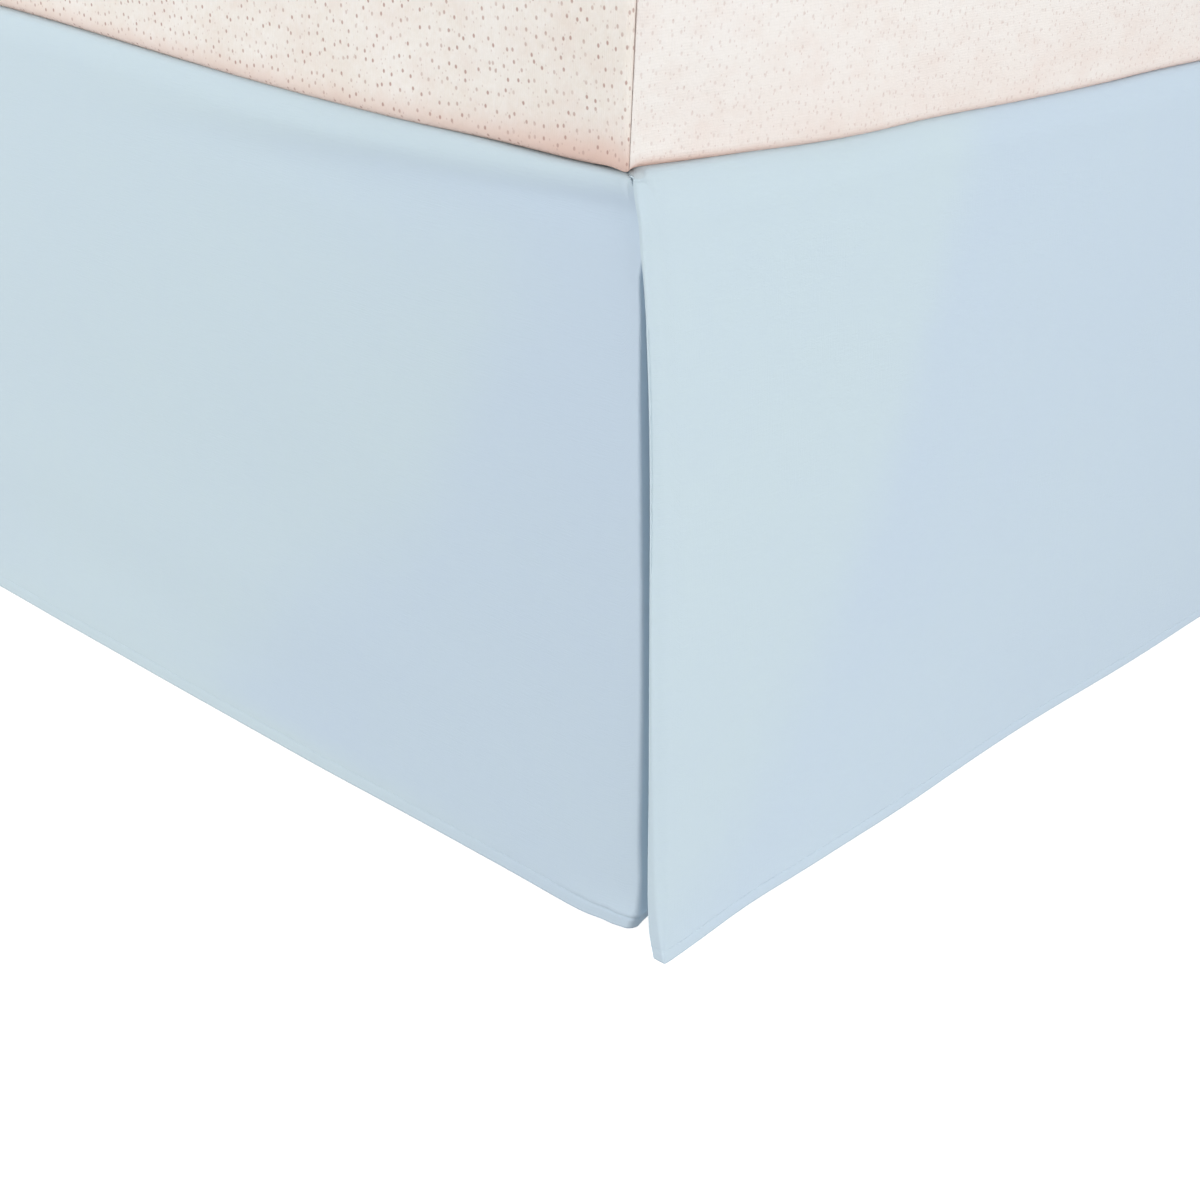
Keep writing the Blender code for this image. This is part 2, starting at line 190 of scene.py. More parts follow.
SIDE_EDGE = table(
    "along radius bulge rise",
    (0.0, 0.006, 0.0004, 0.0032),
    (0.005, 0.006, -0.0024, 0.004),
    (0.011, 0.0055, -0.0038, 0.0047),
    (0.018, 0.005, -0.0045, 0.0045),
    (0.033, 0.005, -0.0046, 0.0038),
    (0.06, 0.005, -0.0038, 0.0029),
    (0.088, 0.005, -0.0028, 0.0022),
    (0.117, 0.005, -0.0014, 0.0013),
    (0.179, 0.0045, -0.0008, 0.0008),
    (0.211, 0.0045, -0.0024, 0.0012),
    (0.317, 0.0045, -0.0026, 0.0012),
    (0.395, 0.005, -0.0044, 0.0014),
    (0.436, 0.005, -0.0054, 0.0024),
    (0.5, 0.005, -0.006, 0.003),
    (0.7, 0.006, -0.004, 0.0012),
    (1.016, 0.006, -0.004, 0.0012),
)
TOP_PRESS = 0.0005  # the cloth's top is pressed this far up round the mattress's edge
TOP_LOOSE = 0.0008  # but the foot drop's lies looser round LOOSE_ALONG
LOOSE_ALONG = 0.055
LOOSE_REACH = 0.06

# ---- painted shade that turns the cloth darker and bluer, along from the corner; from: share of the drop where the cloth turns bluer ----
FOOT_PAINTED_SHADE = table(
    "along from",
    (0.0, 0.1), (0.087, 0.22), (0.152, 0.52), (0.222, 0.66),
    (0.296, 0.86), (0.377, 1.1), (0.762, 1.1),
)
SIDE_PAINTED_SHADE = table(
    "along from",
    (0.0, 1.0), (0.055, 0.9), (0.11, 0.74), (0.18, 0.48),
    (0.25, 0.06), (0.32, -0.3), (2.04, -0.3),
)
TONE_SPREAD = 0.3

# ---- soft relief of the panels: along from the corner, down from the deck, out outwards ----
FOOT_SWELLS = table(
    "along wide down tall out",
    (0.6, 0.26, 0.376, 0.05, -0.0008),
    (0.5, 0.2, 0.318, 0.034, -0.002),
    (0.45, 0.22, 0.235, 0.085, -0.0024),
    (0.3, 0.14, 0.38, 0.036, 0.0006),
    (0.22, 0.12, 0.17, 0.11, 0.0012),
    (0.3, 0.16, 0.29, 0.03, 0.0007),
    (0.05, 0.05, 0.3, 0.12, -0.001),
    (0.62, 0.1, 0.12, 0.09, 0.0015),
    (0.22, 0.09, 0.034, 0.01, -0.0012),
    (0.0, 0.06, 0.017, 0.0085, -0.0018),
)
SIDE_SWELLS = table(
    "along wide down tall out",
    (0.06, 0.05, 0.21, 0.15, 0.001),
    (0.13, 0.06, 0.23, 0.15, -0.0008),
    (0.165, 0.075, 0.376, 0.06, 0.0012),
    (0.31, 0.12, 0.24, 0.12, -0.0018),
    (0.36, 0.09, 0.376, 0.06, -0.0018),
    (0.48, 0.12, 0.3, 0.06, 0.0008),
    (0.62, 0.08, 0.376, 0.06, -0.0018),
    (0.95, 0.3, 0.34, 0.15, 0.003),
    (1.5, 0.25, 0.3, 0.15, -0.002),
)
# along: from the corner; low: how far the hem hangs under its level
FOOT_SAG = table(
    "along low",
    (0.0, 0.001), (0.007, 0.0018), (0.016, 0.001), (0.026, 0.001),
    (0.088, 0.0), (0.152, -0.0002), (0.222, 0.0006), (0.296, 0.0004),
    (0.377, 0.0004), (0.463, 0.0), (0.553, -0.0006), (0.762, -0.0006),
)
SIDE_SAG = table(
    "along low",
    (0.0, 0.0006), (0.015, 0.0001), (0.048, 0.0002), (0.118, 0.0016),
    (0.156, 0.0014), (0.236, 0.002), (0.279, 0.0014), (0.37, 0.0014),
    (0.5, 0.0013), (0.6, 0.0004), (2.04, 0.0006),
)
TROUGH_DEPTH = 0.0046  # hollow under the foot drop's shoulder
TROUGH_REACH = 0.26
TROUGH_START = -0.002
TROUGH_SLOPE = 0.06  # it starts lower away from the corner
TROUGH_FALL = 0.017
TROUGH_FADE = 0.055
TROUGH_SHADE = 1.3  # painted shade: how much darker and bluer the cloth is painted there
HEM_HIGHLIGHT = 1.25  # painted highlight: tone of the foot drop's hem away from the corner, paler than the face above
HEM_HIGHLIGHT_REACH = 0.3
HEM_HIGHLIGHT_TALL = 0.012
CREASE_DEPTH = 0.0009  # short crease that runs into the corner fold
CREASE_LENGTH = 0.011
CREASE_WIDTH = 0.0022
CREASE_DOWN = 0.0215
CREASE_SLOPE = 0.35
RIPPLE = 0.00035  # uneven hang of the cloth
RIPPLE_SIZE = 0.07
LATTICE = (64, 16)  # heights behind the ripple, along and down
SWELL_START = 0.02  # a side drop's relief begins over this distance from its edge

# ---- how finely the sheets are divided ----
BEND_STEPS = 16
HANG_STEPS = 52
HANG_SPACING = 1.35
HEM_ROWS = (0.0060, 0.0036, 0.0020, 0.0012, 0.0006, 0.0, -0.0006, -0.0012)  # above the stitch line
EDGE_ROWS = 6
FACE_STEPS_FOOT = 120
FACE_STEPS_SIDE = 210
FACE_NEAR = 0.22  # share of even spacing; the rest crowds towards the corner
FACE_SPACING = 2.0
FOLD_STEPS = 12
FACET_STEPS = 4
RETURN_STEPS = 24


# ---- small helpers ----
def mix(start, end, share):
    return start + (end - start) * share


def ease(share):
    share = np.clip(share, 0.0, 1.0)
    return share * share * (3.0 - 2.0 * share)


def hump(value, middle, width):
    return np.exp(-((value - middle) / width) ** 2)


def through(lines, key, value):
    """A smooth line through one of a table's columns, by its first column."""
    at, height = next(iter(lines.values())), lines[key]
    slope = np.gradient(height, at)
    value = np.clip(value, at[0], at[-1])
    low = np.clip(np.searchsorted(at, value, side="right") - 1, 0, len(at) - 2)
    span = at[low + 1] - at[low]
    share = (value - at[low]) / span
    return ((1 + 2 * share) * (1 - share) ** 2 * height[low]
            + share * (1 - share) ** 2 * span * slope[low]
            + share ** 2 * (3 - 2 * share) * height[low + 1]
            + share ** 2 * (share - 1) * span * slope[low + 1])


def swell(swells, along, down):
    """The sum of a table's soft humps."""
    return sum(out * hump(along, at, wide) * hump(down, level, tall)
               for at, wide, level, tall, out in zip(*swells.values()))


def ripple(along, down, seed):
    """Smooth uneven hang from a fixed lattice of heights, -1 to 1."""
    lattice = np.random.default_rng(seed).uniform(-1.0, 1.0, LATTICE)
    across, below = np.abs(along) / RIPPLE_SIZE, down / RIPPLE_SIZE
    column, row = np.floor(across).astype(int), np.floor(below).astype(int)
    right, under = ease(across - column), ease(below - row)
    column, row = column % (LATTICE[0] - 1), row % (LATTICE[1] - 1)
    top = mix(lattice[column, row], lattice[column + 1, row], right)
    low = mix(lattice[column, row + 1], lattice[column + 1, row + 1], right)
    return mix(top, low, under)


def puckers(along, down, seed):
    """The same on the scale of a row of stitches."""
    return ripple(along * RIPPLE_SIZE / PUCKER_PITCH, down, seed)


def unit(vectors):
    return vectors / np.linalg.norm(vectors, axis=1)[:, None]


def shown(name, data):
    """A new object in the scene."""
    made = bpy.data.objects.new(name, data)
    bpy.context.scene.collection.objects.link(made)
    return made


# ---- sheets ----
def drop_rows(hem):
    """Rows from the seam to the hem: -1 to 0 in to the seam, 0 to 1 round the bend, 1 to 2 down."""
    fall = DROP - BEND_DOWN
    heights = [hem + above for above in HEM_ROWS]
    heights += [heights[-1] * (1.0 - step / EDGE_ROWS) for step in range(1, EDGE_ROWS + 1)]
    rows = [-1.0, -0.5]
    rows += [step / BEND_STEPS for step in range(BEND_STEPS)]
    body = 1.0 - heights[0] / fall
    rows += [1.0 + body * (step / HANG_STEPS) ** HANG_SPACING for step in range(HANG_STEPS)]
    rows += [2.0 - height / fall for height in heights]
    return np.array(rows)[:, None]


def seam_inset(along):
    """From the hanging face in to the seam with the deck, mitred at the corners."""
    return np.minimum(SEAM_INSET, along + CORNER_INSET)


def hang(rows, along, hidden, proud=0.0):
    """Outwards of the hanging face and below the deck, for rows by columns.

    hidden is 1 on the pleat's inner layers, proud how far the face's top stands off the bed."""
    scale = mix(CORNER_SQUEEZE, 1.0, ease(along / SQUEEZE_REACH))
    share = np.clip(rows, 0.0, 1.0)
    turn = np.where(share < 0.5, 2.0 * share * BEND_TURN, mix(BEND_TURN, math.pi / 2, 2.0 * share - 1.0))
    tight = np.minimum(turn, BEND_TURN)
    out = BEND_RADIUS * np.sin(tight) + BEND_GENTLE * (np.sin(turn) - np.sin(tight)) - BEND_OUT
    fall = BEND_RADIUS * (1.0 - np.cos(tight)) + BEND_GENTLE * (np.cos(tight) - np.cos(turn))
    flat = np.maximum(seam_inset(along) + proud - scale * BEND_OUT, 0.0)
    out = scale * out - flat * np.clip(-rows, 0.0, 1.0)
    below = scale * fall + (DROP - scale * BEND_DOWN) * np.clip(rows - 1.0, 0.0, 1.0)
    order = np.linspace(0.0, 1.0, len(rows))[:, None] ** HANG_SPACING
    below = mix(below, np.maximum(mix(RETURN_TOP, DROP, order), below), hidden)
    return out * (1.0 - hidden), below


def capped(x, y, rows, folded, cap_x, cap_y):
    """The folded columns' rows above the bend drawn together to a point, to close the fold's top."""
    share = np.clip(-rows, 0.0, 1.0) * folded
    return mix(x, cap_x, share), mix(y, cap_y, share)


def top_rise(edge, along, below, loose=0.0):
    """A drop's top follows the mattress's lower edge."""
    press = TOP_PRESS - loose * hump(along, LOOSE_ALONG, LOOSE_REACH)
    return (through(edge, "rise", along) + press) * (1.0 - ease(below / RISE_FADE))


def greener(tones, along, below):
    """Share of the lighter, greener of the cloth's two blues; where it is low, the darker blue is painted
    shade.
    """
    turn = through(tones, "from", along)
    return 1.0 - ease((below / DROP - turn) / TONE_SPREAD + 0.5)


def foot_tone(along, below):
    """The foot drop's share of the lighter blue: painted shade darker and bluer in its hollow, a painted
    highlight paler along its hem.
    """
    # painted highlight along the hem band, growing away from the corner
    band = ease(along / HEM_HIGHLIGHT_REACH) * (1.0 - ease((DROP - below - FOOT_HEM) / HEM_HIGHLIGHT_TALL))
    # painted shade in the hollow under the shoulder
    share = greener(FOOT_PAINTED_SHADE, along, below) - TROUGH_SHADE * trough_share(along, below)
    return mix(share, HEM_HIGHLIGHT, band)


def hem_relief(along, below, hem):
    """Outward step of the hem's layers, and the groove and puckers that its stitches pull."""
    height = DROP - below
    step = HEM_STEP * ease((hem + STITCH_PULL - height) / (2 * STITCH_PULL))
    pucker = PUCKER * puckers(along, below, seed=12) * hump(height, hem, PUCKER_TALL)
    return step + pucker - STITCH_GROOVE * hump(height, hem, STITCH_PULL)


def face_columns(steps):
    """Shares of the way from the corner along a face, crowded towards the corner."""
    share = np.linspace(0.0, 1.0, steps + 1)
    return FACE_NEAR * share + (1.0 - FACE_NEAR) * share ** FACE_SPACING


def edge_line(key, down):
    return through(EDGE_LINES, key, down)


def flare(along, down):
    """Outer face of a side drop outwards of the side plane."""
    left = 1.0 - along / FLARE_REACH
    fade = (left + np.sqrt(left * left + FLARE_SOFTNESS)) / 2
    top = edge_line("inner", 0.0) + edge_line("across", 0.0)
    edge = edge_line("inner", down) + edge_line("across", down)
    return top * hump(along, 0.0, ROLL_PAD_REACH) + (edge - top) * fade


def fold_out(down):
    return through(FOLD_LINES, "out", down)


def pleat_seam(down):
    """Sideways place of the hidden seam at the back of the pleat."""
    seam = mix(fold_out(down), edge_line("inner", down), PLEAT_SEAM_SHARE * ease(down / SEAM_SPREAD))
    return np.minimum(seam, flare(PLEAT_DEPTH, down) - SEAM_UNDER)


def return_line(down, ahead):
    """Sideways place of the foot drop's inner layer behind its fold."""
    swing = ease((ahead - RETURN_TURN) / (PLEAT_DEPTH - RETURN_TURN))
    dip = (RETURN_DIP * down + RETURN_DIP_HEM * down ** PULL_POWER) * (1.0 - swing)
    return mix(fold_out(down) - dip * ease(ahead / RETURN_TURN), pleat_seam(down) - PIECE_GAP / 2, swing)


def trough_share(along, below):
    """Share of the hollow under the foot drop's shoulder."""
    under = below - TROUGH_START - TROUGH_SLOPE * along
    trough = ease(under / TROUGH_FALL) * np.exp(-np.maximum(under - TROUGH_FALL, 0.0) / TROUGH_FADE)
    return trough * hump(along, 0.0, TROUGH_REACH)


def foot_relief(along, below):
    """Outward relief of the foot drop's face."""
    trough = TROUGH_DEPTH * trough_share(along, below)
    crease = hump(below, CREASE_DOWN - CREASE_SLOPE * along, CREASE_WIDTH) * hump(along, 0.0, CREASE_LENGTH)
    cover = ease(below / BEND_DOWN)
    waves = swell(FOOT_SWELLS, along, below) + RIPPLE * ripple(along, below, seed=3)
    return cover * waves - trough - CREASE_DEPTH * crease


def foot_hem_relief(along, below):
    """The foot drop's hem_relief, with the ridge above its hem near the corner."""
    height = DROP - below
    ridge = HEM_PUFF * hump(height, FOOT_HEM + PUFF_ABOVE, PUFF_TALL)
    ridge = ridge - PUFF_GROOVE * hump(height, FOOT_HEM, STITCH_PULL)
    uneven = 1.0 + PUFF_UNEVEN * puckers(along, below, seed=21)
    return ridge * uneven * hump(along, 0.0, PUFF_REACH) + hem_relief(along, below, FOOT_HEM)


def side_relief(along, below):
    """Outward relief of a side drop's face."""
    waves = swell(SIDE_SWELLS, along, below) + RIPPLE * ripple(along, below, seed=8)
    return waves * ease(below / BEND_DOWN) * ease(along / SWELL_START) + hem_relief(along, below, SIDE_HEM)


def foot_half(rows):
    """Outer surface of the foot drop's right half, middle to hidden end, its depth and its share of the
    lighter blue against painted shade.
    """
    shares = 1.0 - face_columns(FACE_STEPS_FOOT)[::-1]
    face = np.concatenate([shares, np.ones(FOLD_STEPS + RETURN_STEPS)])[None, :]
    turn = np.concatenate([np.zeros(len(shares)), np.linspace(0, 1, FOLD_STEPS + 1)[1:],
                           np.ones(RETURN_STEPS)])[None, :]
    back = np.concatenate([np.zeros(len(shares) + FOLD_STEPS),
                           np.linspace(0, 1, RETURN_STEPS + 1)[1:]])[None, :]
    along = (1.0 - face) * HALF_WIDTH
    out, below = hang(rows, along, ease(back * PLEAT_SETTLES))
    down = below / DROP
    radius = through(FOLD_LINES, "round", down)
    side = HALF_WIDTH + fold_out(down)
    relief = foot_relief(along, below)
    puffed = foot_hem_relief(along, below) * (1.0 - ease(back / PUFF_BACK))
    stand = out + puffed
    angle = math.pi / 2 * turn
    x = (side - radius) * face + (radius + stand) * np.sin(angle)
    y = np.where(turn > 0, radius - (radius + stand) * np.cos(angle), -stand) - relief
    ahead = mix(radius - relief, PLEAT_DEPTH, back)
    x = np.where(back > 0, HALF_WIDTH + return_line(down, ahead) + stand, x)
    y = np.where(back > 0, ahead, y)
    x, y = capped(x, y, rows, np.where((turn > 0) & (back == 0), 1.0, 0.0), side - radius, CORNER_INSET)
    climb = FOLD_LIFT * (CLIMB_ROUND * turn + (1.0 - CLIMB_ROUND) * np.minimum(back / CLIMB_BACK, 1.0))
    lift = HEM_LIFT * hump(along, 0.0, LIFT_REACH) + climb * down ** LIFT_POWER
    lift = lift * (1.0 - ease(back * LIFT_SETTLES)) * down ** LIFT_POWER
    sag = through(FOOT_SAG, "low", along) * down ** SAG_POWER
    z = DECK_TOP - below + lift - sag + top_rise(FOOT_EDGE, along, below, TOP_LOOSE)
    return x, y, z, below, foot_tone(along, below)


def side_columns():
    """A side drop's columns from its hidden end to the head end: part and share along it."""
    turn, facet = np.arange(FOLD_STEPS) / FOLD_STEPS, np.arange(FACET_STEPS) / FACET_STEPS
    runs = {"return": 1.0 - np.arange(RETURN_STEPS) / RETURN_STEPS, "inner": turn, "facet": facet,
            "outer": turn, "face": face_columns(FACE_STEPS_SIDE)}
    kind = np.concatenate([np.full(len(shares), part) for part, shares in runs.items()])
    return kind[None, :], np.concatenate(list(runs.values()))[None, :]


def side_grid(rows):
    """Outer surface of the right side drop, hidden end to head end, its depth and its share of the lighter
    blue against painted shade.
    """
    kind, share = side_columns()
    face, back = kind == "face", kind == "return"
    hidden = np.where(back, ease(share * PLEAT_SETTLES), 0.0)
    away = np.where(face, share * SIDE_RUN, 0.0)
    out, below = hang(rows, away, hidden, np.where(face, flare(away, 0.0), 0.0))
    down = below / DROP
    inner = HALF_WIDTH + edge_line("inner", down)
    across, front = edge_line("across", down), edge_line("front", down)
    deep, wide = edge_line("round", down), edge_line("sharp", down) * across
    small = np.minimum(across - wide, mix(EDGE_CRISP, EDGE_SOFT, ease(down / SEAM_SPREAD)))
    start = front + deep
    along = np.where(face, mix(start, SIDE_RUN, share), start)
    relief = side_relief(along, below)
    outer = HALF_WIDTH + flare(np.maximum(along, 0.0), down)
    edge = HALF_WIDTH + flare(np.maximum(start, 0.0), down)
    turn = math.pi / 2 * share
    corner_x = edge - wide + (wide + out + relief) * np.sin(turn)
    corner_y = start - (deep + out + relief) * np.cos(turn)
    facet_x = mix(inner + small, edge - wide, share)
    inside_x = inner + small - (small + INNER_BEND * out) * np.cos(turn)
    inside_y = front + small - (small + INNER_BEND * out) * np.sin(turn)
    behind_y = mix(front + small, PLEAT_DEPTH, share)
    beside = HALF_WIDTH + return_line(down, behind_y) + PIECE_GAP
    closed = ease(share / mix(RETURN_CLOSE, RETURN_CLOSE_HEM, down ** RETURN_OPENS))
    behind_x = mix(inner, beside, closed) + out
    x, y = outer + out + relief, along
    for part, part_x, part_y in (("outer", corner_x, corner_y), ("facet", facet_x, front - out - relief),
                                 ("inner", inside_x, inside_y), ("return", behind_x, behind_y)):
        x, y = np.where(kind == part, part_x, x), np.where(kind == part, part_y, y)
    x, y = capped(x, y, rows, np.where(face | back, 0.0, 1.0), HALF_WIDTH - CORNER_INSET, start)
    sag = through(SIDE_SAG, "low", away) * down ** SAG_POWER
    lift = np.where(back, RETURN_LIFT * closed * down ** PULL_POWER, 0.0)
    z = DECK_TOP - below - sag + lift + top_rise(SIDE_EDGE, away, below)
    return x, y, z, below, greener(SIDE_PAINTED_SHADE, away, below)


def cloth_coordinates(x, y, z):
    """Distances along the cloth, in metres: across at the hem, down the middle of the panel."""
    steps = np.hypot(np.diff(x[-1]), np.diff(y[-1]))
    across = np.concatenate([[0.0], np.cumsum(steps)])
    middle = x.shape[1] // 2
    points = np.stack([x[:, middle], y[:, middle], z[:, middle]])
    down = np.concatenate([[0.0], np.cumsum(np.linalg.norm(np.diff(points), axis=0))])
    return np.broadcast_to(across, x.shape), np.broadcast_to(down[:, None], x.shape)


def placed(name, mesh, finish):
    """The mesh, smooth and finished, as an object in the scene."""
    mesh.shade_smooth()
    mesh.materials.append(finish)
    return shown(name, mesh)


def grid_quads(rows, columns, first=0):
    """The quads of a grid of points that are numbered from first."""
    index = first + np.arange(rows * columns).reshape(rows, columns)
    corners = index[:-1, :-1], index[1:, :-1], index[1:, 1:], index[:-1, 1:]
    return np.stack(corners, axis=-1).reshape(-1, 4)


def grid_object(name, x, y, z, finish):
    """An open sheet from a grid of outer points; its face turns to a viewer who sees the rows run
    down and the columns run right."""
    points = np.stack([x, y + FOOT_PLANE, z], axis=-1).reshape(-1, 3)
    mesh = bpy.data.meshes.new(name)
    mesh.from_pydata(points.tolist(), [], grid_quads(*x.shape).tolist())
    corner = np.empty(len(mesh.loops), dtype=np.int32)
    mesh.loops.foreach_get("vertex_index", corner)
    across, down = cloth_coordinates(x, y, z)
    cloth = np.stack([across, down], axis=-1).reshape(-1, 2)[corner]
    mesh.uv_layers.new(name="cloth").data.foreach_set("uv", cloth.ravel())
    return placed(name, mesh, finish)


def layered(piece, thickness):
    """The sheet's thickness, grown inwards from its outer face."""
    solid = piece.modifiers.new("layers", "SOLIDIFY")
    solid.thickness = thickness
    solid.offset = -1.0
    return solid


def hemmed(name, x, y, z, below, greener_share, depth, finish, thread):
    """A hung sheet, thicker at its hem, and the row of stitches on it."""
    piece = grid_object(name + "_cloth", x, y, z, finish)
    # the share of the lighter blue; where it is low, the cloth takes the darker blue as painted shade
    piece.data.attributes.new("greener", "FLOAT", "POINT").data.foreach_set("value", greener_share.ravel())
    hem = piece.vertex_groups.new(name="hem")
    inside = np.flatnonzero((DROP - below).ravel() < depth)
    hem.add(inside.tolist(), 1.0, "REPLACE")
    solid = layered(piece, HEM_CLOTH)
    solid.vertex_group = "hem"
    solid.thickness_vertex_group = CLOTH / HEM_CLOTH
    row = int(np.argmin(np.abs(DROP - below[:, below.shape[1] // 2] - depth)))
    line = np.stack([x[row], y[row] + FOOT_PLANE, z[row]], axis=-1)
    return piece, stitches(name + "_stitches", line, thread)


def mirrored(grids):
    """A drop's grids for the other side."""
    return [sign * grid[:, ::-1] for sign, grid in zip((-1, 1, 1, 1, 1), grids)]


def foot_drop(finish, thread):
    right = foot_half(drop_rows(FOOT_HEM))
    whole = [np.concatenate([other[:, :-1], half], axis=1) for other, half in zip(mirrored(right), right)]
    return hemmed("foot_drop", *whole, FOOT_HEM, finish, thread)


def side_drop(name, side, finish, thread):
    grids = side_grid(drop_rows(SIDE_HEM))
    return hemmed(name, *(grids if side > 0 else mirrored(grids)), SIDE_HEM, finish, thread)


# ---- stitches ----
STITCH_PITCH = 0.0032
STITCH_LENGTH = 0.0025
THREAD_RADIUS = 0.00018
THREAD_SINK = 0.00006
# along a stitch, and its thickness there
STITCH_RINGS = ((0.0, 0.15), (0.12, 0.8), (0.5, 1.0), (0.88, 0.8), (1.0, 0.15))
STITCH_SIDES = 6


def stitches(name, line, finish):
    """A row of thread stitches along a line, as one mesh."""
    steps = np.linalg.norm(np.diff(line, axis=0), axis=1)
    travelled = np.concatenate([[0.0], np.cumsum(steps)])
    starts = np.arange(STITCH_PITCH, travelled[-1] - STITCH_PITCH, STITCH_PITCH)
    rings, sizes = np.array(STITCH_RINGS).T
    places = starts[:, None] + STITCH_LENGTH * rings[None, :]
    middle = np.stack([np.interp(places, travelled, line[:, axis]) for axis in range(3)], axis=-1)
    ahead = unit(middle[:, -1] - middle[:, 0])
    up = np.array([0.0, 0.0, 1.0])
    out = unit(np.cross(up, ahead))
    angle = 2 * math.pi * np.arange(STITCH_SIDES) / STITCH_SIDES
    spread = THREAD_RADIUS * sizes[None, :, None, None]
    middle -= THREAD_SINK * out[:, None, :]
    points = (middle[:, :, None, :]
              + spread * np.cos(angle)[None, None, :, None] * out[:, None, None, :]
              + spread * np.sin(angle)[None, None, :, None] * up)
    count, levels = len(starts), len(rings)
    index = np.arange(count * levels * STITCH_SIDES).reshape(count, levels, STITCH_SIDES)
    around = np.roll(index, -1, axis=2)
    tubes = np.stack([index[:, :-1], around[:, :-1], around[:, 1:], index[:, 1:]], axis=-1).reshape(-1, 4)
    ends = np.concatenate([index[:, 0, ::-1], index[:, -1]])
    mesh = bpy.data.meshes.new(name)
    mesh.from_pydata(points.reshape(-1, 3).tolist(), [], tubes.tolist() + ends.tolist())
    return placed(name, mesh, finish)


# ---- deck ----
DECK_STEPS = 60
DECK_OVERLAP = 0.003  # runs on under the drops' top edges
DECK_INSET = 0.0018  # least distance inside the bed's planes


def deck(finish):
    """The platform cloth, just under the drops' seams."""
    half = face_columns(DECK_STEPS)
    across = np.concatenate([half - 1.0, 1.0 - half[-2::-1]])[None, :]
    along = half[::-1, None]
    from_side = np.maximum(seam_inset(along * SIDE_RUN) - DECK_OVERLAP, DECK_INSET)
    from_foot = np.maximum(seam_inset((1.0 - np.abs(across)) * HALF_WIDTH) - DECK_OVERLAP, DECK_INSET)
    x = across * (HALF_WIDTH - from_side)
    y = mix(from_foot, SIDE_RUN, along)
    z = np.full_like(y, DECK_TOP - CLOTH - PIECE_GAP / 2)
    piece = grid_object("deck_cloth", x, y, z, finish)
    layered(piece, CLOTH)
    return piece


# ---- padded blocks ----
MATTRESS_CORNER = 0.01
MATTRESS_RIM = 0.014
BULGE_TALL = 0.06
BULGE_DEEP = 0.06  # the bulge dies out this far in under the mattress
LOW_TALL = 0.05  # height over which the lower edge's rounding gives way
PUFF = 0.0006  # uneven padding, from this far up the walls
PUFF_START = 0.02
SEAM_DEPTH = 0.0009
SEAM_WIDTH = 0.0007
RISE_TALL = 0.035
RISE_DEEP = 1.3  # how much further in than the bulge the rise holds on
KNOB_REACH = 0.009  # the lower corners sag into soft knobs
KNOB_SAG = 0.0003
KNOB_TALL = 0.02
# Painted pinkish shade along the mattress's lower edge, where it sits on the skirt, and a paler painted
# shade higher up the side walls
LOW_SHADE_TALL = 0.0085
LOW_SHADE_CORNER = 0.8  # how much taller the painted shade is at the foot wall's ends
LOW_SHADE_REACH = 0.1
LOW_SHADE_SIDE = 0.52  # the painted shade's height on the side walls
BROAD_SHADE = 0.16  # a paler painted shade spreads higher up them
BROAD_TALL = 0.036
BROAD_START = 0.06
CROWN_BLEND = 0.02  # the top takes the side walls' tint this far in from its rim
LOW_SHADE_FAINT = 0.6  # the painted shade's strength away from the corners
BROAD_UNEVEN = 0.6  # how much the paler painted shade comes and goes
BROAD_FINE = 2.0  # and how much finer than the ripple
TOUCH = 1e-9  # closer than this is on the same line
MERGE_DIGITS = 7  # places of a metre that tell points apart
NEAR_STEPS = (0.0, 0.0006, 0.0014, 0.0024, 0.0038, 0.0056, 0.0080, 0.0110, 0.0150)
MATTRESS_STEPS = (44, 56, 16)
SPREAD_EVEN = 0.12
SPREAD_POWER = 1.9


def block_steps(half, steps):
    """Places from -half to half, crowded towards both ends."""
    near = np.array(NEAR_STEPS)
    share = np.linspace(0.0, 1.0, steps + 1)[1:]
    spread = SPREAD_EVEN * share + (1 - SPREAD_EVEN) * share ** SPREAD_POWER
    rest = near[-1] + (half - near[-1]) * spread
    out = half - np.concatenate([near, rest])
    return np.concatenate([-out, out[-2::-1]])


def block_faces(half, steps):
    """The six faces of a box as grids: points, their quads and cloth coordinates."""
    spots = [block_steps(half[axis], steps[axis]) for axis in range(3)]
    points, quads, cloth, count = [], [], [], 0
    for axis, first, second in ((0, 1, 2), (1, 0, 2), (2, 0, 1)):
        for sign in (-1, 1):
            u, v = np.meshgrid(spots[first], spots[second], indexing="ij")
            face = np.empty(u.shape + (3,))
            face[..., axis], face[..., first], face[..., second] = sign * half[axis], u, v
            quad = grid_quads(*u.shape, count)
            points.append(face.reshape(-1, 3))
            quads.append(quad[:, ::-1] if sign * (-1 if axis == 1 else 1) < 0 else quad)
            cloth.append(np.stack([u, v], axis=-1).reshape(-1, 2) + half[axis] * sign)
            count += u.size
    return np.concatenate(points), np.concatenate(quads), np.concatenate(cloth)


